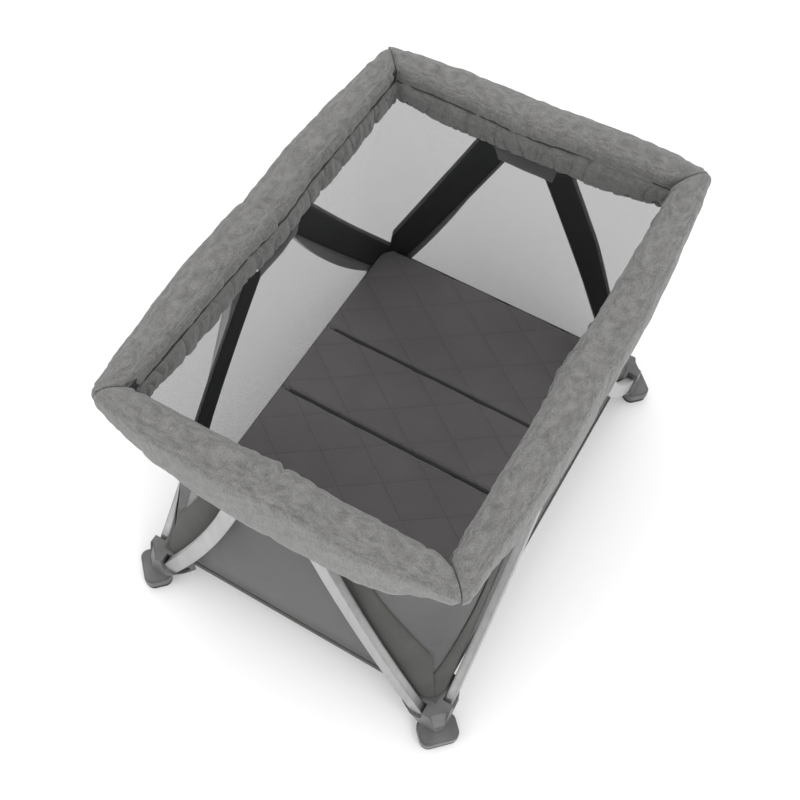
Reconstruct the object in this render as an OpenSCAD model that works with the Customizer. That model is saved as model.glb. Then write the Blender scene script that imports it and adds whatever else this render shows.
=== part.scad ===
// Folding playpen (travel cot)
// Eight bowed legs make an inverted V on each side, from four corner feet to
// four hubs. Half rails hinge on the hubs and drop to the inside when the
// frame folds. A four panel mattress lies on a sewn floor inside mesh walls.

/* [Overall size] */
// Length over the feet (mm)
pen_l = 1090; // [900:5:1320]
// Width over the feet (mm)
pen_w = 810; // [670:5:950]
// Height to the top of the padded rail (mm)
pen_h = 775; // [650:5:900]

/* [Legs] */
// Width of the flat oval leg tube (mm)
leg_w = 32; // [24:1:40]
// Thickness of the flat oval leg tube (mm)
leg_t = 18; // [14:1:22]
// Wall of the leg tube (mm)
leg_wall = 1.8; // [1.2:0.1:3]
// Bow of the legs on the short sides (mm)
leg_bow = 16; // [8:1:34]
// Bow of the legs on the long sides (mm)
leg_bow_long = 34; // [8:1:36]
// Height of the pivots in the feet (mm)
foot_pivot_z = 88; // [80:1:110]

/* [Hubs] */
// Distance from the side centre to a leg pivot (mm)
hub_half = 60; // [52:1:75]
// Drop from the rail pivots to the leg pivots (mm)
hub_drop = 55; // [50:1:70]
// Diameter of the leg pins (mm)
leg_pin_d = 10; // [8:0.5:12]
// Diameter of the rail pins (mm)
rail_pin_d = 8; // [6:0.5:9]
// Diameter of the release button (mm)
button_d = 22; // [16:1:26]
// Travel of the release button (mm)
button_travel = 4; // [2:0.5:6]

/* [Rails] */
// Diameter of the rail tube (mm)
rail_d = 20; // [16:1:22]
// Diameter of the padded rail cover (mm)
cover_d = 60; // [50:1:64]

/* [Fabric and mattress] */
// Thickness of a mesh wall (mm)
mesh_t = 3; // [2:0.5:4]
// Depth of the apron below the top of the rail (mm)
apron_h = 185; // [120:5:240]
// Length of the mattress (mm)
mat_l = 930; // [760:5:1120]
// Width of the mattress (mm)
mat_w = 666; // [540:5:800]
// Thickness of the mattress (mm)
mat_t = 34; // [20:1:45]
// Length of the first mattress panel (mm)
panel_a = 233; // [180:1:280]
// Length of the second mattress panel (mm)
panel_b = 215; // [170:1:260]
// Length of the third mattress panel (mm)
panel_c = 200; // [160:1:240]

/* [Hidden] */
$fn = 96;
// Radial running clearance of a pin in its eye
fit = 0.05;
// Planes of the legs, from the pen centre
leg_x = pen_l / 2 - 47;
leg_y = pen_w / 2 - 47;
// Distance from a corner of the leg planes to each foot pivot
foot_set = 50;
foot_x = leg_x - foot_set;
foot_y = leg_y - foot_set;
// Planes of the rails
rail_in = 33.5;
rail_x = leg_x - rail_in;
rail_y = leg_y - rail_in;
// Heights
rail_z = pen_h - cover_d / 2;
hub_z = rail_z - hub_drop;
foot_top = foot_pivot_z + 24;
floor_z = foot_top + 1;
floor_t = 4;
mat_z = floor_z + floor_t + 3;
mesh_top = rail_z - cover_d / 2 - 3;
// Rail pivots
rail_piv = 24;
corner_set = 24.5;
eye_r = 12;
eye_t = 12;
// Gap left at the open end of each short rail
open_gap = 20;
// Mesh planes
mesh_x = leg_x - leg_t / 2 - 8;
mesh_y = leg_y - leg_t / 2 - 8;
// Ends of the mattress panels along the pen
groove_w = 6;
head = -mat_l / 2;
ends = [head, head + panel_a, head + panel_a + panel_b, head + panel_a + panel_b + panel_c, mat_l / 2];

FRONT = 180;
BACK = 0;
LEFT = 90;
RIGHT = -90;

// Turns a part drawn for the +y side to the side it belongs to
module on_side(turn) {
  rotate([0, 0, turn]) children();
}

// Rounded rectangle centred on the origin
module rounded(w, t, r) {
  square([w - 2 * r, t], center = true);
  square([w, t - 2 * r], center = true);
  for (i = [-1, 1], j = [-1, 1])
    translate([i * (w / 2 - r), j * (t / 2 - r)]) circle(r);
}

// Cylinder along y between two y values
module rod_y(x, z, r, y0, y1) {
  translate([x, y1, z]) rotate([90, 0, 0]) cylinder(r = r, h = y1 - y0);
}

// Block between two corners
module block(a, b) {
  translate(a) cube(b - a);
}

// ---------------------------------------------------------------- feet

// Outline of the space that a leg sweeps in its foot between folded and open
module sweep_outline() {
  s = leg_w / 2 + 1.1;
  lean = 46;
  polygon([[0, 0], [s, 0], [s, 150], [-150, 150], [-150, 150 * cos(lean) - s],
    [-s * cos(lean), -s * sin(lean)]]);
}

module foot_outline(grow) {
  translate([4.5, 0]) rounded(60 + grow, 85 + grow, 18);
}

// Foot at the +x +y corner
module foot_body() {
  top = foot_top;
  low = -leg_t / 2 - 0.8;
  difference() {
    union() {
      // tapering column with two arms
      intersection() {
        linear_extrude(height = top)
          polygon([[leg_x + 15, leg_y - 92], [leg_x + 15, leg_y + 2], [leg_x + 2, leg_y + 15],
            [leg_x - 92, leg_y + 15], [leg_x - 92, leg_y - 24], [leg_x - 62, leg_y - 24],
            [leg_x - 24, leg_y - 62], [leg_x - 24, leg_y - 92]]);
        translate([leg_x, leg_y, 0]) rotate([0, 0, 45]) rotate([90, 0, 90])
          translate([0, 0, -150]) linear_extrude(height = 300)
            polygon([[-32, 12], [32, 12], [35, 44], [62, top - 22], [64, top],
              [-64, top], [-62, top - 22], [-35, 44]]);
        translate([leg_x, leg_y, 0]) rotate([0, 0, 45]) rotate([90, 0, 0])
          linear_extrude(height = 300, center = true)
            polygon([[-110, 12], [30, 12], [29, 34], [19, 44], [1, top], [-110, top],
              [-110, top - 40], [-26, 34], [-24, 12]]);
      }
      // wide base flange
      translate([leg_x, leg_y, 12]) rotate([0, 0, 45])
        linear_extrude(height = 19) foot_outline(0);
      translate([leg_x, leg_y, 31]) rotate([0, 0, 45])
        linear_extrude(height = 4) foot_outline(-6);
    }
    // shallow tapered recess on the outer face
    translate([leg_x, leg_y, 0]) rotate([0, 0, 45]) rotate([0, -17, 0])
      translate([16, 0, 0]) rotate([90, 0, 90]) translate([0, 0, 12])
        linear_extrude(height = 30)
          polygon([[-11, 56], [11, 56], [20, top - 4], [-20, top - 4]]);
    // seats of the two legs
    translate([foot_x, leg_y + 40, foot_pivot_z]) rotate([90, 0, 0]) {
      cylinder(r = leg_w / 2 + 0.8, h = 40 - low);
      linear_extrude(height = 40 - low) sweep_outline();
    }
    translate([leg_x + low, foot_y, foot_pivot_z]) {
      rotate([0, 90, 0]) cylinder(r = leg_w / 2 + 0.8, h = 40 - low);
      rotate([90, 0, 90]) linear_extrude(height = 40 - low) sweep_outline();
    }
    // keeps the column clear of the base of the walls
    block([0, 0, 11], [leg_x - 25, leg_y - 25, top + 1]);
  }
  // stub pins of the two legs
  rod_y(foot_x, foot_pivot_z, leg_pin_d / 2, leg_y - leg_t / 2 - 2, leg_y + 3);
  translate([0, foot_y, foot_pivot_z]) rotate([0, 90, 0])
    translate([0, 0, leg_x - leg_t / 2 - 2]) cylinder(r = leg_pin_d / 2, h = leg_t / 2 + 5);
}

module foot(sx, sy) {
  color([0.5, 0.5, 0.5])
    mirror([sx < 0 ? 1 : 0, 0, 0]) mirror([0, sy < 0 ? 1 : 0, 0]) foot_body();
}

module foot_pad(sx, sy) {
  color([0.16, 0.16, 0.17])
    mirror([sx < 0 ? 1 : 0, 0, 0]) mirror([0, sy < 0 ? 1 : 0, 0])
      translate([leg_x, leg_y, 0]) rotate([0, 0, 45])
        linear_extrude(height = 12) foot_outline(-3);
}

// ---------------------------------------------------------------- legs

// Leg of the +y side, on the +x half: foot pivot run, plane of the leg
module leg_tube(foot_run, plane, bow) {
  run = foot_run - hub_half;
  rise = hub_z - foot_pivot_z;
  chord = sqrt(run * run + rise * rise);
  bend = (chord * chord / 4 + bow * bow) / (2 * bow);
  cx = (foot_run + hub_half) / 2 + (bend - bow) * rise / chord;
  cz = (foot_pivot_z + hub_z) / 2 + (bend - bow) * run / chord;
  far = 1.1;
  fx = cx + far * (foot_run - cx);
  fz = cz + far * (foot_pivot_z - cz);
  hx = cx + far * (hub_half - cx);
  hz = cz + far * (hub_z - cz);
  difference() {
    union() {
      // bowed tube between the two pivots
      intersection() {
        translate([cx, plane + leg_t / 2, cz]) rotate([90, 0, 0]) difference() {
          cylinder(r = bend + leg_w / 2, h = leg_t);
          translate([0, 0, -1]) cylinder(r = bend - leg_w / 2, h = leg_t + 2);
          translate([0, 0, leg_wall]) difference() {
            cylinder(r = bend + leg_w / 2 - leg_wall, h = leg_t - 2 * leg_wall);
            translate([0, 0, -1]) cylinder(r = bend - leg_w / 2 + leg_wall, h = leg_t);
          }
        }
        translate([0, plane + leg_t, 0]) rotate([90, 0, 0]) linear_extrude(height = 2 * leg_t)
          polygon([[cx, cz], [hx, hz], [fx, fz]]);
      }
      // rounded ends
      for (p = [[foot_run, foot_pivot_z], [hub_half, hub_z]])
        rod_y(p[0], p[1], leg_w / 2 + 0.3, plane - leg_t / 2 + 0.3, plane + leg_t / 2 - 0.3);
    }
    rod_y(foot_run, foot_pivot_z, leg_pin_d / 2 + fit, plane - leg_t, plane + 4);
    rod_y(hub_half, hub_z, leg_pin_d / 2 + fit, plane - leg_t, plane + leg_t);
  }
}

module leg(turn, half, foot_run, plane, bow) {
  color([0.72, 0.72, 0.73])
    on_side(turn) mirror([half < 0 ? 1 : 0, 0, 0]) leg_tube(foot_run, plane, bow);
}

// ---------------------------------------------------------------- hubs

// Hub of the +y side: plane of the legs, plane of the rails
module hub_body(lp, rp) {
  low = leg_t / 2 + 0.6;
  top = rail_z + 14;
  out = lp + leg_t / 2 + 5.5;
  // block over the legs that carries the outer ends of the rail pins
  difference() {
    union() {
      block([-36, rp + 11, hub_z + 24], [36, out, top - 3]);
      // cheeks on both sides of the legs
      for (y = [lp - low - 5, lp + low])
        translate([0, y, 0]) {
          block([-hub_half, 0, hub_z - 20], [hub_half, 4.9, hub_z + 20]);
          block([-36, 0, hub_z], [36, 4.9, hub_z + 30]);
          for (i = [-1, 1]) rod_y(i * hub_half, hub_z, 20, 0, 4.9);
        }
      // web between the two legs
      block([-24, lp - low - 5, hub_z - 16], [24, out, hub_z + 26]);
      // bosses and inner plate of the rail pins, and the web that holds them
      for (i = [-1, 1]) {
        rod_y(i * rail_piv, rail_z, 13.5, rp + 6.6, rp + 12);
        rod_y(i * rail_piv, rail_z, 14, rp - 12.6, rp - 6.6);
      }
      block([-rail_piv, rp - 12.6, rail_z - 14], [rail_piv, rp - 6.6, top]);
      block([-8, rp - 7, rail_z - 14], [8, rp + 12, top - 3]);
    }
    for (i = [-1, 1]) {
      rod_y(i * hub_half, hub_z, leg_pin_d / 2 + fit, lp - 30, lp + 30);
      rod_y(i * rail_piv, rail_z, rail_pin_d / 2 + fit, rp - 20, rp + 16.5);
    }
    // pocket and guide of the release button
    rod_y(0, rail_z - 8, button_d / 2 + 0.4, out - 12, out + 1);
    rod_y(0, rail_z - 8, button_d / 4 + fit, out - 30, out + 1);
  }
}

module hub(turn, lp, rp) {
  color([0.2, 0.2, 0.21]) on_side(turn) hub_body(lp, rp);
}

module hub_pins(turn, lp, rp) {
  color([0.6, 0.6, 0.62]) on_side(turn)
    for (i = [-1, 1]) {
      rod_y(i * hub_half, hub_z, leg_pin_d / 2, lp - leg_t / 2 - 5.4, lp + leg_t / 2 + 5.4);
      rod_y(i * hub_half, hub_z, leg_pin_d / 2 + 2, lp + leg_t / 2 + 5.6, lp + leg_t / 2 + 7);
      rod_y(i * hub_half, hub_z, leg_pin_d / 2, lp + leg_t / 2 + 5, lp + leg_t / 2 + 6);
      rod_y(i * rail_piv, rail_z, rail_pin_d / 2, rp - 13, rp + 16);
      rod_y(i * rail_piv, rail_z, rail_pin_d / 2 + 2, rp - 14.2, rp - 12.8);
    }
}

module button(turn, lp) {
  out = lp + leg_t / 2 + 5.5;
  color([0.42, 0.42, 0.43]) on_side(turn) {
    rod_y(0, rail_z - 8, button_d / 2, out - 5, out + 3);
    rod_y(0, rail_z - 8, button_d / 4, out - 22, out - 4);
  }
}

// ---------------------------------------------------------------- rails

// Half rail of the +y side on the +x half, from its hub eye to its outer end
module rail_body(rp, outer, hinged) {
  r = rail_d / 2;
  difference() {
    union() {
      translate([rail_piv + 15.5, rp, rail_z]) rotate([0, 90, 0]) difference() {
        cylinder(r = r, h = outer - rail_piv - 29);
        translate([0, 0, 12]) cylinder(r = r - 1.5, h = outer - rail_piv - 53);
      }
      rod_y(rail_piv, rail_z, eye_r - 1, rp - eye_t / 2, rp + eye_t / 2);
      block([rail_piv, rp - eye_t / 2, rail_z - 7], [rail_piv + 19, rp + eye_t / 2, rail_z + 7]);
      if (hinged) {
        rod_y(outer, rail_z, eye_r - 1, rp - eye_t / 2, rp + eye_t / 2);
        block([outer - 17, rp - eye_t / 2, rail_z - 7], [outer, rp + eye_t / 2, rail_z + 7]);
      } else {
        translate([outer - 14, rp, rail_z]) sphere(r = r);
      }
    }
    rod_y(rail_piv, rail_z, rail_pin_d / 2 + fit, rp - 10, rp + 10);
    if (hinged) rod_y(outer, rail_z, rail_pin_d / 2 + fit, rp - 10, rp + 10);
  }
}

module rail(turn, half, rp, outer, hinged) {
  color([0.66, 0.66, 0.68])
    on_side(turn) mirror([half < 0 ? 1 : 0, 0, 0]) rail_body(rp, outer, hinged);
}

// Corner joint at the +x +y corner, carried by the long rail
module corner_body() {
  px = rail_x - corner_set;
  for (y = [rail_y - 12.4, rail_y + 6.4]) {
    rod_y(px, rail_z, 12, y, y + 6);
    block([px, y, rail_z - 12], [rail_x, y + 6, rail_z + 12]);
  }
  block([px + 13.5, rail_y - 12.4, rail_z - 12], [rail_x, rail_y + 12.4, rail_z + 12]);
  translate([rail_x, rail_y, rail_z - 12]) cylinder(r = 12.5, h = 24);
  translate([rail_x, rail_y, rail_z]) rotate([90, 0, 0]) cylinder(r = 9, h = 20);
  rod_y(px, rail_z, rail_pin_d / 2, rail_y - 8, rail_y + 8);
  // small knob that tents the cover at the outside of the corner
  translate([rail_x + 14, rail_y + 14, rail_z]) sphere(r = 9, $fn = 48);
}

module corner(sx, sy) {
  color([0.25, 0.25, 0.26])
    mirror([sx < 0 ? 1 : 0, 0, 0]) mirror([0, sy < 0 ? 1 : 0, 0]) corner_body();
}

// Padded sleeve round a half rail
module cover(turn, half, rp, outer) {
  color([0.54, 0.54, 0.53])
    on_side(turn) mirror([half < 0 ? 1 : 0, 0, 0])
      translate([hub_half + 4, rp, rail_z]) rotate([0, 90, 0]) difference() {
        cylinder(r = cover_d / 2, h = outer - hub_half - 18.5);
        translate([0, 0, -1]) cylinder(r = rail_d / 2 + 4, h = outer);
      }
}

// ---------------------------------------------------------------- fabric

// Mesh wall with its top channel over the hub and its outer apron
module side_body(mp, rp, lp, half_len) {
  inner = rp - cover_d / 2;
  outer = lp + leg_t / 2 + 14;
  block([-half_len, mp - mesh_t, floor_z + floor_t + 0.5], [half_len, mp, mesh_top]);
  block([-hub_half, inner, hub_z - 44], [hub_half, inner + 3, pen_h]);
  block([-hub_half, inner, pen_h - 3], [hub_half, outer + 3, pen_h]);
  block([-hub_half, inner, hub_z - 44], [hub_half, mp, hub_z - 41]);
  block([-3 * hub_half, outer, pen_h - apron_h], [3 * hub_half, outer + 3, pen_h]);
}

module side(turn, mp, rp, lp, half_len) {
  color([0.47, 0.47, 0.48]) on_side(turn) side_body(mp, rp, lp, half_len);
}

module floor_panel() {
  color([0.3, 0.3, 0.31])
    block([-mesh_x, -mesh_y, floor_z], [mesh_x, mesh_y, floor_z + floor_t]);
}

// One padded panel of the mattress
module mattress(i) {
  x0 = ends[i] + (i == 0 ? 0 : groove_w / 2);
  x1 = ends[i + 1] - (i == 3 ? 0 : groove_w / 2);
  color([0.33, 0.31, 0.32])
    block([x0, -mat_w / 2, mat_z], [x1, mat_w / 2, mat_z + mat_t]);
}

long_end = rail_x - corner_set;
short_end = rail_y - open_gap - open_gap;
long_half = mesh_x - mesh_t - 1;
short_half = mesh_y;

foot(-1, -1);  // foot_fl
foot(1, -1);  // foot_fr
foot(-1, 1);  // foot_bl
foot(1, 1);  // foot_br
foot_pad(-1, -1);  // foot_pad_fl
foot_pad(1, -1);  // foot_pad_fr
foot_pad(-1, 1);  // foot_pad_bl
foot_pad(1, 1);  // foot_pad_br
leg(FRONT, 1, foot_x, leg_y, leg_bow_long);  // leg_front_l
leg(FRONT, -1, foot_x, leg_y, leg_bow_long);  // leg_front_r
leg(BACK, -1, foot_x, leg_y, leg_bow_long);  // leg_back_l
leg(BACK, 1, foot_x, leg_y, leg_bow_long);  // leg_back_r
leg(LEFT, -1, foot_y, leg_x, leg_bow);  // leg_left_f
leg(LEFT, 1, foot_y, leg_x, leg_bow);  // leg_left_b
leg(RIGHT, 1, foot_y, leg_x, leg_bow);  // leg_right_f
leg(RIGHT, -1, foot_y, leg_x, leg_bow);  // leg_right_b
hub(FRONT, leg_y, rail_y);  // hub_front
hub(BACK, leg_y, rail_y);  // hub_back
hub(LEFT, leg_x, rail_x);  // hub_left
hub(RIGHT, leg_x, rail_x);  // hub_right
hub_pins(FRONT, leg_y, rail_y);  // hub_pins_front
hub_pins(BACK, leg_y, rail_y);  // hub_pins_back
hub_pins(LEFT, leg_x, rail_x);  // hub_pins_left
hub_pins(RIGHT, leg_x, rail_x);  // hub_pins_right
button(FRONT, leg_y);  // button_front
button(BACK, leg_y);  // button_back
button(LEFT, leg_x);  // button_left
button(RIGHT, leg_x);  // button_right
rail(FRONT, 1, rail_y, long_end, true);  // rail_front_l
rail(FRONT, -1, rail_y, long_end, true);  // rail_front_r
rail(BACK, -1, rail_y, long_end, true);  // rail_back_l
rail(BACK, 1, rail_y, long_end, true);  // rail_back_r
rail(LEFT, -1, rail_x, short_end, false);  // rail_left_f
rail(LEFT, 1, rail_x, short_end, false);  // rail_left_b
rail(RIGHT, 1, rail_x, short_end, false);  // rail_right_f
rail(RIGHT, -1, rail_x, short_end, false);  // rail_right_b
corner(-1, -1);  // corner_fl
corner(1, -1);  // corner_fr
corner(-1, 1);  // corner_bl
corner(1, 1);  // corner_br
cover(FRONT, 1, rail_y, long_end);  // cover_front_l
cover(FRONT, -1, rail_y, long_end);  // cover_front_r
cover(BACK, -1, rail_y, long_end);  // cover_back_l
cover(BACK, 1, rail_y, long_end);  // cover_back_r
cover(LEFT, -1, rail_x, short_end);  // cover_left_f
cover(LEFT, 1, rail_x, short_end);  // cover_left_b
cover(RIGHT, 1, rail_x, short_end);  // cover_right_f
cover(RIGHT, -1, rail_x, short_end);  // cover_right_b
side(FRONT, mesh_y, rail_y, leg_y, long_half);  // side_front
side(BACK, mesh_y, rail_y, leg_y, long_half);  // side_back
side(LEFT, mesh_x, rail_x, leg_x, short_half);  // side_left
side(RIGHT, mesh_x, rail_x, leg_x, short_half);  // side_right
floor_panel();
mattress(0);  // mattress_a
mattress(1);  // mattress_b
mattress(2);  // mattress_c
mattress(3);  // mattress_d
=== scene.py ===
import math

import bmesh
import bpy
import numpy as np
from mathutils import Matrix, Vector, noise


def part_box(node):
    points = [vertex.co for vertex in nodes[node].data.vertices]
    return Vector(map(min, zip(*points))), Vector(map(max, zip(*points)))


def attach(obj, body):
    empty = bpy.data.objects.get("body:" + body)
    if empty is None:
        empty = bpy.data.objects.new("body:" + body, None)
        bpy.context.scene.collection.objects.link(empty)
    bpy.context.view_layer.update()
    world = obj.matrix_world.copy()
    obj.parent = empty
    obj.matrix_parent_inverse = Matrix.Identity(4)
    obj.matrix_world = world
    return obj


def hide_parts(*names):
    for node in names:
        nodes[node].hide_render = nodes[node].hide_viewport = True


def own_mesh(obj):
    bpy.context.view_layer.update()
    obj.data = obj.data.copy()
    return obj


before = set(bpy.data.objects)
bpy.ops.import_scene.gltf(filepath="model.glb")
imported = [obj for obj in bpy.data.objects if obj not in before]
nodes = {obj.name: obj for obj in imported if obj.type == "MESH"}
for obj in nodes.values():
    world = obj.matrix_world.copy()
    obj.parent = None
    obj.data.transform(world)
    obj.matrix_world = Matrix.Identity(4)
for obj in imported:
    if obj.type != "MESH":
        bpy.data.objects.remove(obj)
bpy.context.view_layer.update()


# ------------------------------------------------------ places
def mid(node):
    lo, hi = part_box(node)
    return (lo + hi) / 2


RY, RX, RZ = mid("cover_back_l").y, mid("cover_right_f").x, mid("cover_back_l").z
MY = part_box("floor_panel")[1].y
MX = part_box("floor_panel")[1].x
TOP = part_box("cover_back_l")[1].z
FLOOR_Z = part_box("floor_panel")[1].z
MAT_LO = Vector((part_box("mattress_a")[0].x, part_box("mattress_a")[0].y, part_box("mattress_a")[0].z))
MAT_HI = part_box("mattress_d")[1]
R = (TOP - RZ) - 0.0025
OUT = 0.013                # the padding sits a little outside the rail
# mattress quilting: spacing of the lines and their lean
QUILT, QUILT_LEAN = 0.118, 0.72
# widths of the bands, and how far each lies off the wall
BAND_OUT_W, BAND_IN_W, BAND_OFF = 0.078, 0.064, 0.0015
# the leg pivots on a hub: their height, and their distance from the middle of the side
HUB_PZ = RZ - 0.055
HH = 0.060

SEEDS = {"front": 1.0, "back": 2.0, "left": 3.0, "right": 4.0}
# side: name, body, turn about z, half length at the rail axis, rail plane, wall plane
SIDES = [
    ("front", "hub_front", math.pi, RX, RY, MY),
    ("back", "hub_back", 0.0, RX, RY, MY),
    ("left", "hub_left", math.pi / 2, RY, RX, MX),
    ("right", "hub_right", -math.pi / 2, RY, RX, MX),
]


# ------------------------------------------------------ materials
def material(name, rough=0.8, metal=0.0, **sockets):
    m = bpy.data.materials.new(name)
    m.use_nodes = True
    t = m.node_tree
    b = t.nodes["Principled BSDF"]
    b.inputs["Roughness"].default_value = rough
    b.inputs["Metallic"].default_value = metal
    for k, v in sockets.items():
        b.inputs[k.replace("_", " ")].default_value = v
    return m, t, b


def node(t, kind, **props):
    n = t.nodes.new(kind)
    for k, v in props.items():
        if k in n.inputs:
            n.inputs[k].default_value = v
        else:
            setattr(n, k, v)
    return n


def link(t, a, b):
    t.links.new(a, b)


def coords(t, scale=(1, 1, 1), rot=(0, 0, 0)):
    tc = node(t, "ShaderNodeTexCoord")
    mp = node(t, "ShaderNodeMapping")
    mp.inputs["Scale"].default_value = scale
    mp.inputs["Rotation"].default_value = rot
    link(t, tc.outputs["Object"], mp.inputs["Vector"])
    return mp.outputs["Vector"]


def ramp(t, fac, stops):
    r = node(t, "ShaderNodeValToRGB")
    e = r.color_ramp.elements
    while len(e) < len(stops):
        e.new(0.5)
    for x, (pos, col) in zip(e, stops):
        x.position = pos
        x.color = (*col, 1)
    link(t, fac, r.inputs["Fac"])
    return r.outputs["Color"]


def bump(t, height, strength, distance, normal=None):
    b = node(t, "ShaderNodeBump", Strength=strength, Distance=distance)
    link(t, height, b.inputs["Height"])
    if normal is not None:
        link(t, normal, b.inputs["Normal"])
    return b.outputs["Normal"]


def noise_tex(t, vec, scale, detail=3.0, rough=0.55):
    n = node(t, "ShaderNodeTexNoise", Scale=scale, Detail=detail, Roughness=rough)
    link(t, vec, n.inputs["Vector"])
    return n.outputs["Fac"]


def wave(t, vec, scale, direction, distortion=0.0, profile="SIN"):
    w = node(t, "ShaderNodeTexWave", Scale=scale, Distortion=distortion)
    w.bands_direction = direction
    w.wave_profile = profile
    link(t, vec, w.inputs["Vector"])
    return w.outputs["Fac"]


def maths(t, op, a, b=None):
    m = node(t, "ShaderNodeMath", operation=op)
    for i, v in enumerate((a, b)):
        if v is None:
            continue
        if isinstance(v, (int, float)):
            m.inputs[i].default_value = v
        else:
            link(t, v, m.inputs[i])
    return m.outputs[0]


def mixc(t, fac, a, b, mode="MIX"):
    m = node(t, "ShaderNodeMix", data_type="RGBA", blend_type=mode)
    for i, v in ((0, fac), (6, a), (7, b)):
        if isinstance(v, (int, float)):
            m.inputs[i].default_value = v
        elif isinstance(v, tuple):
            m.inputs[i].default_value = (*v, 1)
        else:
            link(t, v, m.inputs[i])
    return m.outputs[2]


def melange(name, dark, light, weave=900.0):
    m, t, b = material(name, 0.92, Sheen_Weight=0.25, Sheen_Roughness=0.45)
    v = coords(t)
    big = noise_tex(t, v, 9.0, 4.0, 0.6)
    fleck = noise_tex(t, coords(t, (1, 1, 0.12)), 380.0, 1.0, 0.5)
    fleck2 = noise_tex(t, coords(t, (0.12, 0.12, 1)), 380.0, 1.0, 0.5)
    flecks = maths(t, "MULTIPLY", maths(t, "ADD", fleck, fleck2), 0.46)
    f = maths(t, "ADD", maths(t, "MULTIPLY", big, 0.08), flecks)
    col = ramp(t, f, [(0.30, dark), (0.5, tuple((a + c) / 2 for a, c in zip(dark, light))), (0.70, light)])
    link(t, col, b.inputs["Base Color"])
    wa = wave(t, v, weave, "Z")
    wb = wave(t, coords(t, (1, 1, 1), (0, 0, 0.785)), weave, "X")
    wv = maths(t, "MULTIPLY", wa, wb)
    n1 = bump(t, wv, 0.35, 0.0006)
    n2 = bump(t, noise_tex(t, v, 22.0, 1.0), 0.10, 0.002, n1)
    link(t, n2, b.inputs["Normal"])
    return m


def plain_cloth(name, dark, light, scale=700.0, rough=0.9, sheen=0.2, weave=0.4):
    m, t, b = material(name, rough, Sheen_Weight=sheen, Sheen_Roughness=0.4)
    v = coords(t)
    broad = maths(t, "MULTIPLY", noise_tex(t, v, 14.0, 3.0), 0.6)
    fine = maths(t, "MULTIPLY", noise_tex(t, v, 500.0, 2.0), 0.4)
    f = maths(t, "ADD", broad, fine)
    link(t, ramp(t, f, [(0.35, dark), (0.65, light)]), b.inputs["Base Color"])
    across = wave(t, coords(t, (1, 1, 1), (0, 0, 0.785)), scale, "X")
    wv = maths(t, "MULTIPLY", wave(t, v, scale, "Z"), across)
    link(t, bump(t, noise_tex(t, v, 40.0, 3.0), 0.2, 0.002, bump(t, wv, weave, 0.0005)), b.inputs["Normal"])
    return m


def mesh_cloth(name, dark, light, cover=0.78):
    m, t, b = material(name, 0.75, Sheen_Weight=0.15, Sheen_Roughness=0.5)
    v = coords(t)
    link(t, ramp(t, noise_tex(t, v, 6.0, 3.0), [(0.35, dark), (0.65, light)]), b.inputs["Base Color"])
    a = wave(t, v, 520.0, "Z")
    c = wave(t, coords(t, (1, 1, 1), (0, 0, 0.785)), 740.0, "X")
    holes = maths(t, "MULTIPLY", a, c)
    alpha = maths(t, "SUBTRACT", cover + 0.075, maths(t, "MULTIPLY", holes, 0.3))
    link(t, alpha, b.inputs["Alpha"])
    link(t, bump(t, holes, 0.15, 0.0005), b.inputs["Normal"])
    return m


def mattress_cloth(name):
    m, t, b = material(name, 0.72, Sheen_Weight=0.3, Sheen_Roughness=0.35)
    v = coords(t)
    broad = maths(t, "MULTIPLY", noise_tex(t, v, 5.0, 3.0), 0.7)
    fine = maths(t, "MULTIPLY", noise_tex(t, v, 380.0, 2.0), 0.3)
    f = maths(t, "ADD", broad, fine)
    base = ramp(t, f, [(0.35, (0.092, 0.086, 0.090)), (0.65, (0.122, 0.115, 0.119))])
    rib = wave(t, v, 75.0, "X")
    knit = wave(t, v, 210.0, "Y")
    ribs = maths(t, "MULTIPLY", rib, knit)
    link(t, mixc(t, maths(t, "MULTIPLY", ribs, 0.75), base, (0.2, 0.19, 0.197)), b.inputs["Base Color"])
    xyz = node(t, "ShaderNodeSeparateXYZ")
    link(t, v, xyz.inputs[0])
    lines = None
    for sign in (QUILT_LEAN, -QUILT_LEAN):
        place = maths(t, "ADD", xyz.outputs["X"], maths(t, "MULTIPLY", xyz.outputs["Y"], sign))
        count = maths(t, "ADD", maths(t, "DIVIDE", place, QUILT), 100.5)
        away = maths(t, "ABSOLUTE", maths(t, "SUBTRACT", maths(t, "FRACT", count), 0.5))
        line = maths(t, "LESS_THAN", away, 0.013)
        lines = line if lines is None else maths(t, "MAXIMUM", lines, line)
    knit_colour = b.inputs["Base Color"].links[0].from_socket
    stitched = mixc(t, maths(t, "MULTIPLY", lines, 0.30), knit_colour, (0.05, 0.047, 0.05))
    link(t, stitched, b.inputs["Base Color"])
    pressed = maths(t, "SUBTRACT", ribs, maths(t, "MULTIPLY", lines, 0.7))
    link(t, bump(t, pressed, 0.6, 0.0014), b.inputs["Normal"])
    return m


def plastic(name, dark, light, rough=0.42, grain=900.0):
    m, t, b = material(name, rough)
    v = coords(t)
    link(t, ramp(t, noise_tex(t, v, 25.0, 4.0), [(0.35, dark), (0.65, light)]), b.inputs["Base Color"])
    bev = node(t, "ShaderNodeBevel", samples=4)
    bev.inputs["Radius"].default_value = 0.0018
    link(t, bump(t, noise_tex(t, v, grain, 2.0), 0.12, 0.0004, bev.outputs["Normal"]), b.inputs["Normal"])
    return m


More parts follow.
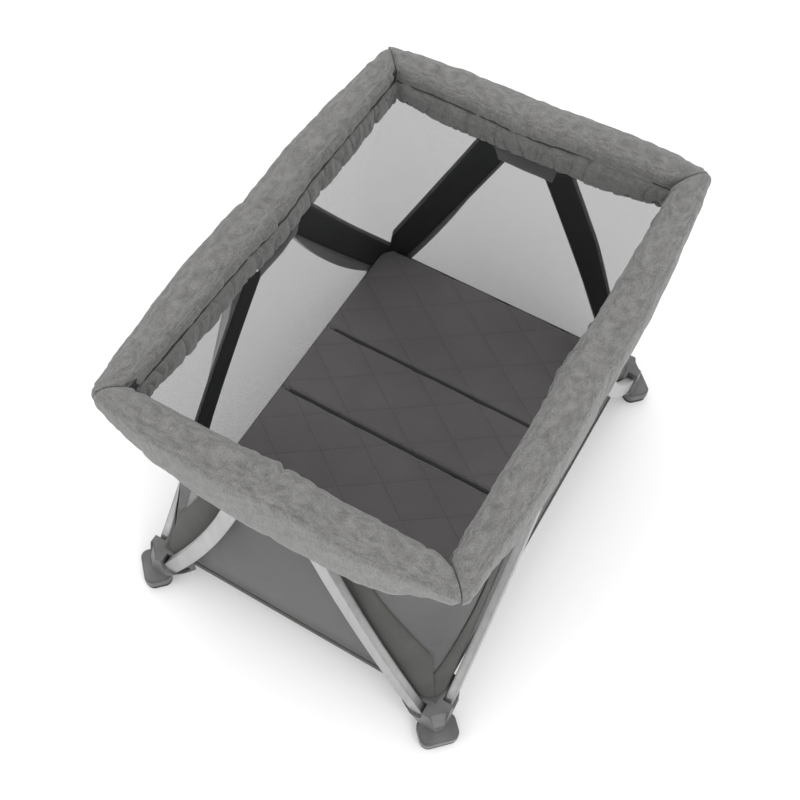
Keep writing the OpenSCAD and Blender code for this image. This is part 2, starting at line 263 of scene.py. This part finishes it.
def metal(name, dark, light, rough=0.36):
    m, t, b = material(name, rough, 0.85)
    v = coords(t, (1, 1, 0.15))
    link(t, ramp(t, noise_tex(t, v, 60.0, 4.0), [(0.3, dark), (0.7, light)]), b.inputs["Base Color"])
    bev = node(t, "ShaderNodeBevel", samples=4)
    bev.inputs["Radius"].default_value = 0.006
    link(t, bump(t, noise_tex(t, v, 700.0, 2.0), 0.05, 0.0003, bev.outputs["Normal"]), b.inputs["Normal"])
    return m


COVER = melange("cover_fabric_weave", (0.090, 0.089, 0.086), (0.215, 0.213, 0.208))
SKIRT = melange("skirt_fabric_weave", (0.085, 0.084, 0.082), (0.180, 0.178, 0.174))
BAND_OUT = plain_cloth("band_outside_weave", (0.050, 0.051, 0.046), (0.072, 0.073, 0.066), sheen=0.05)
BAND_IN = plain_cloth("band_inside_weave", (0.003, 0.004, 0.0035), (0.007, 0.009, 0.008),
                      rough=0.75, sheen=0.0)
HUBCLOTH = plain_cloth("hub_cover_weave", (0.045, 0.045, 0.045), (0.065, 0.065, 0.065))
MESH = mesh_cloth("wall_mesh_weave", (0.105, 0.104, 0.106), (0.125, 0.124, 0.126), 0.60)
FLOORCLOTH = plain_cloth("floor_weave", (0.065, 0.063, 0.065), (0.085, 0.083, 0.085))
# near-black cloth: painted shade for the tube in the crease under each roll, and the dark bound gusset in
# the mattress's fold lines
SEAM_SHADE_AND_GUSSET = plain_cloth("painted_seam_shade_and_gusset", (0.02, 0.02, 0.02), (0.035, 0.035, 0.035), rough=0.8)
MATTRESS = mattress_cloth("mattress_knit")
FOOTMAT = plastic("foot_moulded_grey", (0.105, 0.105, 0.104), (0.14, 0.14, 0.138))
DARKPL = plastic("dark_moulded", (0.025, 0.025, 0.026), (0.04, 0.04, 0.041))
BUTTONM = plastic("button_moulded", (0.11, 0.11, 0.112), (0.15, 0.15, 0.152))
SOLE = plastic("sole_rubber_grain", (0.022, 0.022, 0.023), (0.04, 0.04, 0.04), rough=0.8, grain=500.0)
ALU = metal("leg_anodised", (0.36, 0.36, 0.36), (0.44, 0.44, 0.44), 0.42)
RAILALU = metal("rail_anodised", (0.42, 0.42, 0.43), (0.55, 0.55, 0.56))
STEEL = metal("pin_brushed", (0.4, 0.4, 0.41), (0.6, 0.6, 0.61), rough=0.28)

for n, o in nodes.items():
    m = None
    if n.startswith("foot_pad"):
        m = SOLE
    elif n.startswith("foot_"):
        m = FOOTMAT
    elif n.startswith("leg_"):
        m = ALU
    elif n.startswith("hub_pins"):
        m = STEEL
    elif n.startswith("hub_") or n.startswith("corner_"):
        m = DARKPL
    elif n.startswith("button_"):
        m = BUTTONM
    elif n.startswith("rail_"):
        m = RAILALU
    if m:
        if not o.data.materials:
            o.data.materials.append(m)
        for i in range(len(o.data.materials)):
            o.data.materials[i] = m


# ------------------------------------------------------ mesh tools
def make(name, verts, faces, mat, smooth=True):
    me = bpy.data.meshes.new(name)
    me.from_pydata([tuple(v) for v in verts], [], faces)
    me.validate()
    me.update()
    if smooth:
        me.polygons.foreach_set("use_smooth", [True] * len(me.polygons))
    me.materials.append(mat)
    o = bpy.data.objects.new(name, me)
    bpy.context.scene.collection.objects.link(o)
    return o


def grid_faces(nu, nv, close_v=False, flip=False):
    out = []
    for i in range(nu - 1):
        for j in range(nv if close_v else nv - 1):
            k = (j + 1) % nv
            q = (i * nv + j, (i + 1) * nv + j, (i + 1) * nv + k, i * nv + k)
            out.append(q[::-1] if flip else q)
    return out


def turned(pts, turn):
    """Side frame (along, outward, up) to the row frame."""
    c, s = math.cos(turn), math.sin(turn)
    p = np.asarray(pts, float)
    return np.stack([p[..., 0] * c - p[..., 1] * s, p[..., 0] * s + p[..., 1] * c, p[..., 2]], -1)


def spline(points, n):
    """Closed Catmull-Rom through the points, n samples spread by length."""
    P = np.asarray(points, float)
    m = len(P)
    out = []
    for i in range(m):
        a, b, c, d = P[(i - 1) % m], P[i], P[(i + 1) % m], P[(i + 2) % m]
        for t in np.linspace(0, 1, 12, endpoint=False):
            square = (2 * a - 5 * b + 4 * c - d) * t**2
            cube = (3 * b - a - 3 * c + d) * t**3
            out.append(0.5 * (2 * b + (c - a) * t + square + cube))
    out = np.array(out)
    seg = np.linalg.norm(np.roll(out, -1, 0) - out, axis=1)
    s = np.concatenate([[0], np.cumsum(seg)])
    want = np.linspace(0, s[-1], n, endpoint=False)
    full = np.vstack([out, out[:1]])
    return np.stack([np.interp(want, s, full[:, k]) for k in range(full.shape[1])], 1)


def nz(x, y, z, seed=0.0):
    return noise.noise(Vector((x + seed * 17.3, y - seed * 9.1, z + seed * 4.7)))


# ------------------------------------------------------ padded rail covers
def middle(u):
    """1 in the middle of a side, 0 at its corners."""
    return max(0.0, math.cos(math.pi * min(abs(u), 1) / 2))


def hem(u):
    """Depth of the cover's lower outer edge below the rail axis: deep in the middle, round at a corner."""
    return R * 1.0 + 0.125 * middle(u) ** 1.1


def out_at(s):
    """How far the padding sits outside the rail: less over the hub, which it has to clear."""
    return OUT - 0.008 * math.exp(-((s / 0.085) ** 2))


def cover_section(u, half):
    """Closed section of the cover, (outward, up) from the rail axis: a roll with an apron on its outside."""
    w = middle(u) ** 0.8
    d = hem(u)
    b = R + 0.030 * w           # how far the outer face stands out
    h = R * 0.42 + (R * 0.58 + 0.012) * min(1.0, w * 1.6)
    pts = [
        (h - 0.001, -d),
        (h + (b - h) * 0.80, -d * 0.72),
        (b, -d * 0.36 + 0.002),
        (b * 0.95, 0.010),
        (b * 0.70, R * 0.76),
        (0.006, R * 1.02),
        (-R * 0.62, R * 0.80),
        (-R * 0.98, R * 0.18),
        (-R * 0.86, -R * 0.55),
        (-R * 0.30, -R * 0.98),
        (min(R * 0.30 + 0.006 * w, h * 0.55), -R * 1.00),
        (h * 0.80, -R * 1.01 - 0.20 * (d - R)),
        (h - 0.008, -R - 0.62 * (d - R) - 0.001),
        (h - 0.007, -d + 0.001),
    ]
    return [(q + out_at(u * half), z) for q, z in pts]


def crease(v, sharp=5.0):
    """0 on smooth cloth, 1 on the narrow line of a fold."""
    return (1 - min(1.0, abs(v) * sharp)) ** 2


LIFT_AT = Vector((RX + R, -RY - R, RZ))


def settled(p):
    """The cloth stands a little higher round the corner of the front and right sides."""
    d = (Vector(p) - LIFT_AT).length
    return 0.020 * math.exp(-((d / 0.30) ** 2))


def build_cover(side):
    name, body, turn, half, rp, mp = side
    nu, nv = (300 if half > 0.4 else 210), 60
    seed = SEEDS[name]
    us = np.linspace(-1, 1, nu)
    P = np.zeros((nu, nv, 3))
    for i, u in enumerate(us):
        sec = spline(cover_section(u, half), nv)
        nrm = np.roll(sec, -1, 0) - np.roll(sec, 1, 0)
        nrm = np.stack([-nrm[:, 1], nrm[:, 0]], 1)
        nrm /= np.linalg.norm(nrm, axis=1)[:, None] + 1e-9
        centre = sec.mean(0)
        if ((sec - centre) * nrm).sum() < 0:
            nrm = -nrm
        for j in range(nv):
            q, z = sec[j]
            s = u * (half + q)
            edge = (1 - abs(u)) * half
            inner = max(0.0, min(1.0, (0.012 - q) / 0.05))
            k = nz(s * 5, q * 9, z * 7, seed) * 0.0045
            # gathers that run round the roll, strongest at the corners, in the middle and on the inside
            near = math.exp(-edge / 0.09) + 0.8 * math.exp(-((s / 0.05) ** 2))
            g = nz(s * 46, q * 5, z * 5, seed + 3) * (0.0010 + 0.0030 * near + 0.0022 * inner)
            g += nz(s * 90, q * 9, z * 9, seed + 5) * (0.0006 + 0.0012 * inner)
            fold = 0.0006 + 0.0030 * near + 0.0022 * inner
            g -= crease(nz(s * 19 + z * 5, q * 2, z * 3, seed + 9)) * fold
            # slanting drag lines on the outer face
            g += nz(s * 14 + z * 16, q * 4, z * 10 - s * 8, seed + 7) * 0.0022 * (1 - inner)
            g -= crease(nz(s * 7 + z * 13, z * 4, q * 3, seed + 11), 7.0) * 0.0014 * (1 - inner)
            pull = -0.0040 * math.exp(-((edge / 0.010) ** 2))
            pull = pull - 0.0050 * math.exp(-((s / 0.010) ** 2)) * inner
            q2, z2 = sec[j] + nrm[j] * (k + g + pull)
            P[i, j] = (u * (half + q2), rp + q2, RZ + z2)
    V = turned(P, turn).reshape(-1, 3)
    V[:, 2] += [settled(p) for p in V]
    F = grid_faces(nu, nv, True)
    F.append(tuple(range(nv))[::-1])
    F.append(tuple((nu - 1) * nv + j for j in range(nv)))
    o = make("rail_cover_" + name, V, F, COVER)
    sub = o.modifiers.new("soft", "SUBSURF")
    sub.levels = sub.render_levels = 1
    return o


# ------------------------------------------------------ walls
WALL_TOP = RZ - 0.042
WALL_LOW = FLOOR_Z + 0.004


def corner_r(z):
    """The cloth is stretched across each corner: tight at the floor and the rail, wide between them."""
    t = min(1.0, max(0.0, (z - WALL_LOW) / (WALL_TOP - WALL_LOW)))
    return 0.036 + 0.135 * math.sin(math.pi * t)


def wall_q(z, rp, mp):
    """Outward place of the wall at a height: inside the rail at the skirt, out to the floor's edge below."""
    t = min(1.0, max(0.0, (z - 0.30) / (WALL_TOP - 0.30)))
    inner = rp - 0.012
    return (mp - 0.002) + (inner - (mp - 0.002)) * t**1.6


def wall_point(side, u, z, lift=0.0):
    """u from -1 to 1 along the side, with half of each rounded corner."""
    name, body, turn, half, rp, mp = side
    other_rp, other_mp = (RX, MX) if half > 0.4 else (RY, MY)
    o = wall_q(z, rp, mp)
    e = wall_q(z, other_rp, other_mp)
    r = corner_r(z)
    flat = e - r
    arc = r * math.pi / 4
    total = flat + arc
    d = abs(u) * total
    sg = 1 if u >= 0 else -1
    if d <= flat:
        s, n = d, (0.0, 1.0)
        off = o
    else:
        a = (d - flat) / r
        s = flat + r * math.sin(a)
        off = o - r * (1 - math.cos(a))
        n = (math.sin(a), math.cos(a))
    return (sg * (s + n[0] * lift), off + n[1] * lift, z)


def build_wall(side):
    name, body, turn, half, rp, mp = side
    nu, nz_ = 90, 44
    zs = np.linspace(WALL_LOW, WALL_TOP, nz_)
    P = np.array([[wall_point(side, u, z) for z in zs] for u in np.linspace(-1, 1, nu)])
    V = turned(P, turn).reshape(-1, 3)
    o = make("wall_mesh_" + name, V, grid_faces(nu, nz_), MESH)
    return o


# ------------------------------------------------------ bands beside the legs
def band_line(side, t, bend):
    """A band's centreline: beside the leg at the hub, ending at the mattress's corner."""
    reach = (MAT_HI.x if side[3] > 0.4 else MAT_HI.y) - 0.010
    low = MAT_HI.z - 0.030
    run, rise = reach - HH, HUB_PZ - low
    chord = math.hypot(run, rise)
    ax, az = rise / chord, run / chord
    sag = bend * 4 * t * (1 - t)
    return HH + run * (1 - t) + ax * sag, low + rise * t + az * sag, (ax, az)


def wall_u(side, s, z):
    """The wall's u at a place along the side."""
    half, rp, mp = side[3], side[4], side[5]
    other_rp, other_mp = (RX, MX) if half > 0.4 else (RY, MY)
    e = wall_q(z, other_rp, other_mp)
    r = corner_r(z)
    flat = e - r
    total = flat + r * math.pi / 4
    if abs(s) <= flat:
        return s / total
    x = min(math.sqrt(0.5), (abs(s) - flat) / r)
    return math.copysign((flat + r * math.asin(x)) / total, s)


def build_bands(side, width, lift, mat, label, thick=0.0016, t0=-0.03, t1=0.93):
    name, body, turn, half, rp, mp = side
    V, F = [], []
    nt, nw = 60, 9
    for sg in (-1, 1):
        rows = []
        for i in range(nt):
            t = t0 + (t1 - t0) * i / (nt - 1)
            x, z, (ax, az) = band_line(side, t, -0.003)
            row = []
            for j in range(nw):
                w = (j / (nw - 1) - 0.5) * width
                xx, zz = x + ax * w, z + az * w
                zz = min(max(zz, WALL_LOW + 0.001), WALL_TOP + 0.02)
                u = sg * abs(wall_u(side, xx, zz))
                edge = 1 - abs(j / (nw - 1) - 0.5) * 2
                puff = thick * (0.5 + 0.9 * min(1, edge * 3))
                stitch = -0.0006 if 0.05 < edge < 0.3 else 0.0
                row.append(wall_point(side, u, zz, lift + math.copysign(puff + stitch, lift)))
            rows.append(row)
        base = len(V)
        P = np.array(rows)
        V += list(turned(P, turn).reshape(-1, 3))
        F += [tuple(base + k for k in f) for f in grid_faces(nt, nw)]
    o = make(label + "_" + name, V, F, mat)
    m = o.modifiers.new("cloth", "SOLIDIFY")
    m.thickness = 0.0012
    m.offset = 0
    return o


# ------------------------------------------------------ skirt strip under the rail, inside
def build_skirt(side):
    name, body, turn, half, rp, mp = side
    nu, nv = (420 if half > 0.4 else 300), 14
    seed = SEEDS[name] + 20
    P = np.zeros((nu, nv, 3))
    for i, u in enumerate(np.linspace(-1, 1, nu)):
        for j in range(nv):
            f = j / (nv - 1)
            tuck = math.exp(-f / 0.10)
            z = -R * 0.36 - 0.066 * f
            q = out_at(u * half) - R * 0.90 + 0.010 * tuck - 0.001 * f
            s = u * (half + q)
            drop = nz(s * 9, 0, 0, seed) * 0.006 * f + 0.006 * math.cos(2 * math.pi * u) * f
            g = nz(s * 62, f * 1.2, 0, seed + 1) * 0.0060 * (1 - 0.5 * f) * min(1, f * 6)
            g += nz(s * 120, f * 2, 0, seed + 2) * 0.0024 * (1 - f) * min(1, f * 6)
            g -= crease(nz(s * 30, f * 0.8, 0, seed + 3)) * 0.0045 * min(1, f * 6)
            swell = 0.006 * math.sin(math.pi * min(1.0, f * 1.1))
            P[i, j] = (u * (half + q - g - swell), rp + q - g - swell, RZ + z + drop)
    V = turned(P, turn).reshape(-1, 3)
    V[:, 2] += [settled(p) for p in V]
    o = make("rail_skirt_" + name, V, grid_faces(nu, nv), SKIRT)
    m = o.modifiers.new("cloth", "SOLIDIFY")
    m.thickness = 0.0016
    return o


# ------------------------------------------------------ painted shade: a dark tube laid in the crease between the roll and the skirt
def build_seam_shade(side):
    name, body, turn, half, rp, mp = side
    n, k, r = 300, 8, 0.0017
    rows = []
    for u in np.linspace(-1, 1, n):
        row = []
        for j in range(k):
            a = 2 * math.pi * j / k
            s = u * half
            q = out_at(s) - R * 0.90 - 0.0006 + r * math.cos(a) + nz(s * 40, 0, 0, 71) * 0.0016
            z = -R * 0.58 + r * math.sin(a) + nz(s * 33, 0, 0, 72) * 0.0022
            row.append((u * (half + q), rp + q, RZ + z))
        rows.append(row)
    V = turned(np.array(rows), turn).reshape(-1, 3)
    V[:, 2] += [settled(p) for p in V]
    F = grid_faces(n, k, True)
    F.append(tuple(range(k))[::-1])
    F.append(tuple((n - 1) * k + j for j in range(k)))
    o = make("rail_painted_seam_shade_" + name, V, F, SEAM_SHADE_AND_GUSSET)
    bm_fix(o)
    return o


# ------------------------------------------------------ hub cover, inside
def build_hub_cover(side):
    name, body, turn, half, rp, mp = side
    nu, nv = 40, 20
    P = np.zeros((nu, nv, 3))
    z0, z1 = RZ - 0.112, RZ - 0.050
    for i in range(nu):
        a = i / (nu - 1) * 2 - 1
        for j in range(nv):
            f = j / (nv - 1)
            z = z0 + (z1 - z0) * f
            wide = 0.066 + 0.012 * f
            s = a * wide
            zz = z - 0.006 * (1 - f) * a * a
            swell = 0.010 * (1 - a * a) * math.sin(math.pi * min(1, f + 0.15))
            q = wall_q(zz, rp, mp) - 0.0035 - swell + nz(s * 20, zz * 20, 0, 50) * 0.002
            P[i, j] = (s, q, zz)
    V = turned(P, turn).reshape(-1, 3)
    o = make("hub_cover_" + name, V, grid_faces(nu, nv), HUBCLOTH)
    m = o.modifiers.new("cloth", "SOLIDIFY")
    m.thickness = 0.0014
    return o


# ------------------------------------------------------ lower border of the walls
def build_border(side):
    name, body, turn, half, rp, mp = side
    nu, nv = 90, 8
    P = []
    for u in np.linspace(-1, 1, nu):
        row = []
        for j in range(nv):
            f = j / (nv - 1)
            z = WALL_LOW - 0.004 + 0.018 * f
            puff = 0.0022 if 0 < j < nv - 1 else 0.0006
            row.append(wall_point(side, u, z, puff))
        P.append(row)
    V = turned(np.array(P), turn).reshape(-1, 3)
    o = make("wall_border_" + name, V, grid_faces(nu, nv), BAND_OUT)
    m = o.modifiers.new("cloth", "SOLIDIFY")
    m.thickness = 0.0014
    m.offset = 0
    return o


# ------------------------------------------------------ mattress
def build_mattress(letter):
    lo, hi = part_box("mattress_" + letter)
    first, last = letter == "a", letter == "d"
    spread = 0.005             # the soft edge rests against the walls
    lo = Vector((lo.x - (spread if first else 0.0022), lo.y - spread, lo.z))
    hi = Vector((hi.x + (spread if last else 0.0022), hi.y + spread, hi.z))
    far = MAT_HI.y + spread
    nx, ny = max(24, int((hi.x - lo.x) / 0.006)), int((hi.y - lo.y) / 0.006)
    cx = 0.045                 # radius of the mattress's corners
    middle_x, half_x = (MAT_LO.x + MAT_HI.x) / 2, (MAT_HI.x - MAT_LO.x) / 2
    zc = (lo.z + hi.z) / 2
    h = (hi.z - lo.z) / 2
    X = np.linspace(lo.x, hi.x, nx)
    Y = np.linspace(lo.y, hi.y, ny)
    top = np.zeros((nx, ny, 3))
    bot = np.zeros((nx, ny, 3))
    for i, x in enumerate(X):
        for j, y in enumerate(Y):
            # rounded outer corners in plan
            xx, yy = x, y
            ex = min(cx, max(0.0, abs(x - middle_x) - (half_x + spread - cx)))
            ymax = far
            if ex > 0:
                ymax = far - cx + math.sqrt(max(0.0, cx * cx - ex * ex))
                yy = y * ymax / far
            dx = min(x - lo.x, hi.x - x)
            dy = ymax - abs(yy)
            edge = min(1.0, max(0.0, min(dx, dy)) / 0.007)
            round_ = math.sqrt(max(0.0, 1 - (1 - edge) ** 2))
            # diamond quilting
            qa = (x + y * QUILT_LEAN) / QUILT
            qb = (x - y * QUILT_LEAN) / QUILT
            ga = abs(qa - round(qa)) * QUILT
            gb = abs(qb - round(qb)) * QUILT
            groove = math.exp(-((ga / 0.0040) ** 2)) + math.exp(-((gb / 0.0040) ** 2))
            pad = 0.0020 * min(1, ga / 0.03) * min(1, gb / 0.03)
            soft = nz(x * 8, y * 8, 0, 80) * 0.0012
            zt = zc + h * round_ + (pad - 0.0018 * min(1.0, groove) + soft - 0.0010) * edge
            zb = zc - h * round_ + 0.0004
            top[i, j] = (xx, yy, zt)
            bot[i, j] = (xx, yy, zb)
    V = np.vstack([top.reshape(-1, 3), bot.reshape(-1, 3)])
    n = nx * ny
    F = grid_faces(nx, ny)
    F2 = [tuple(n + k for k in f[::-1]) for f in grid_faces(nx, ny)]
    rim = [i * ny for i in range(nx)]
    rim += [(nx - 1) * ny + j for j in range(1, ny)]
    rim += [i * ny + ny - 1 for i in range(nx - 2, -1, -1)]
    rim += list(range(ny - 2, 0, -1))
    F3 = []
    for k in range(len(rim)):
        a, b = rim[k], rim[(k + 1) % len(rim)]
        F3.append((a, n + a, n + b, b))
    o = make("mattress_pad_" + letter, V, F + F2 + F3, MATTRESS)
    bm_fix(o)
    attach(o, "mattress_" + letter)
    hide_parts("mattress_" + letter)
    return o


def bm_fix(o):
    bm = bmesh.new()
    bm.from_mesh(o.data)
    bmesh.ops.recalc_face_normals(bm, faces=bm.faces)
    bm.to_mesh(o.data)
    bm.free()
    o.data.polygons.foreach_set("use_smooth", [True] * len(o.data.polygons))


def build_groove(letter, at, body):
    """Dark bound gusset in a fold line of the mattress."""
    n = 120
    V, F = [], []
    y0, y1 = MAT_LO.y + 0.022, MAT_HI.y - 0.022
    zt = MAT_HI.z - 0.0035
    prof = [(-0.0042, -0.004), (-0.0026, 0.0002), (0.0, 0.0008), (0.0026, 0.0002), (0.0042, -0.004)]
    rows = []
    for i in range(n):
        y = y0 + (y1 - y0) * i / (n - 1)
        rows.append([(at + px, y, zt + pz + nz(y * 30, px * 50, 0, 90) * 0.0004) for px, pz in prof])
    V = np.array(rows).reshape(-1, 3)
    o = make("mattress_groove_" + letter, V, grid_faces(n, len(prof)), SEAM_SHADE_AND_GUSSET)
    m = o.modifiers.new("cloth", "SOLIDIFY")
    m.thickness = 0.001
    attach(o, body)
    return o


# ------------------------------------------------------ foam sleeves that stay on the half rails
def build_sleeve(nodename, body):
    lo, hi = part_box(nodename)
    along = 0 if (hi.x - lo.x) > (hi.y - lo.y) else 1
    c = (lo + hi) / 2
    r = 0.0150
    n, k = 90, 28
    rows = []
    for i in range(n):
        f = i / (n - 1)
        s = lo[along] + (hi[along] - lo[along]) * f
        end = min(1.0, min(f, 1 - f) * n / 5)
        rr = r * (0.80 + 0.20 * math.sqrt(max(0, 1 - (1 - end) ** 2)))
        row = []
        for j in range(k):
            a = 2 * math.pi * j / k
            d = rr + nz(s * 30, math.cos(a), math.sin(a), 60) * 0.0012
            p = [0, 0, 0]
            p[along] = s
            p[1 - along] = c[1 - along] + d * math.cos(a)
            p[2] = c.z + d * math.sin(a)
            row.append(p)
        rows.append(row)
    V = np.array(rows).reshape(-1, 3)
    F = grid_faces(n, k, True)
    F.append(tuple(range(k))[::-1])
    F.append(tuple((n - 1) * k + j for j in range(k)))
    o = make("sleeve_" + nodename[6:], V, F, SKIRT)
    bm_fix(o)
    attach(o, body)
    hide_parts(nodename)
    return o


for side in SIDES:
    name, body = side[0], side[1]
    cover = build_cover(side)
    bm_fix(cover)
    wall = build_wall(side)
    bands_out = build_bands(side, BAND_OUT_W, BAND_OFF, BAND_OUT, "band_outside")
    bands_in = build_bands(side, BAND_IN_W, -BAND_OFF, BAND_IN, "band_inside", t1=0.95)
    skirt = build_skirt(side)
    hubc = build_hub_cover(side)
    border = build_border(side)
    # a near-black tube that paints the shade in the crease under the roll
    seam_shade = build_seam_shade(side)
    for o in (cover, wall, bands_out, bands_in, skirt, hubc, border, seam_shade):
        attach(o, body)
        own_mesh(o)
    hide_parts("side_" + name)

for l in ("front_l", "front_r", "back_l", "back_r", "left_f", "left_b", "right_f", "right_b"):
    build_sleeve("cover_" + l, "rail_" + l)
for letter in "abcd":
    build_mattress(letter)
# each groove: its letter, the panels before and after it, and the panel that carries it
GROOVES = (("a", "mattress_a", "mattress_b", "mattress_b"),
           ("c", "mattress_b", "mattress_c", "mattress_b"),
           ("d", "mattress_c", "mattress_d", "mattress_c"))
for letter, a, b, body in GROOVES:
    build_groove(letter, (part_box(a)[1].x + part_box(b)[0].x) / 2, body)


# ------------------------------------------------------ floor
def build_floor():
    lo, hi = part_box("floor_panel")
    nx, ny = 80, 60
    inset = 0.002
    rows = []
    for x in np.linspace(lo.x + inset, hi.x - inset, nx):
        ys = np.linspace(lo.y + inset, hi.y - inset, ny)
        rows.append([(x, y, hi.z - 0.0005 - 0.0006 * (1 + nz(x * 6, y * 6, 0, 33))) for y in ys])
    top = np.array(rows)
    o = make("floor_cloth", top.reshape(-1, 3), grid_faces(nx, ny), FLOORCLOTH)
    m = o.modifiers.new("cloth", "SOLIDIFY")
    m.thickness = 0.003
    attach(o, "foot_fl")
    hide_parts("floor_panel")
    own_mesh(o)


build_floor()

# ------------------------------------------------------ stage
bpy.ops.mesh.primitive_plane_add(size=14, location=(0, 0, 0))
ground = bpy.context.object
ground.name = "ground"
gm, gt, gb = material("ground_paper", 0.95)
gb.inputs["Base Color"].default_value = (0.97, 0.97, 0.97, 1)
ground.data.materials.append(gm)

world = bpy.data.worlds.new("studio")
bpy.context.scene.world = world
world.use_nodes = True
world.node_tree.nodes["Background"].inputs[0].default_value = (1, 1, 1, 1)
world.node_tree.nodes["Background"].inputs[1].default_value = 1.0


def area_light(name, loc, target, size, power):
    d = bpy.data.lights.new(name, "AREA")
    d.size = size
    d.energy = power
    o = bpy.data.objects.new(name, d)
    bpy.context.scene.collection.objects.link(o)
    o.location = loc
    o.rotation_euler = (Vector(target) - Vector(loc)).to_track_quat("-Z", "Y").to_euler()
    return o


area_light("key", (-1.8, -2.6, 3.4), (0, 0, 0.4), 2.2, 48)
area_light("fill", (-3.0, 1.8, 2.2), (0, 0, 0.4), 2.5, 18)
area_light("top", (0.3, 0.6, 4.0), (0, 0, 0.2), 3.0, 26)

cam_data = bpy.data.cameras.new("camera")
cam = bpy.data.objects.new("camera", cam_data)
bpy.context.scene.collection.objects.link(cam)
cam_data.sensor_width = 36.0
cam_data.lens = 51.378
right = Vector((0.50101775, -0.8650611, 0.02550487))
down = Vector((-0.7308346, -0.43869466, -0.52290323))
ahead = Vector((0.4635321, 0.24334396, -0.8520104))
M = Matrix.Identity(4)
for i in range(3):
    M[i][0], M[i][1], M[i][2] = right[i], -down[i], -ahead[i]
M.translation = Vector((-1.14297618, -0.57153899, 2.41804549))
cam.matrix_world = M
bpy.context.scene.camera = cam
bpy.context.scene.view_settings.view_transform = "Standard"
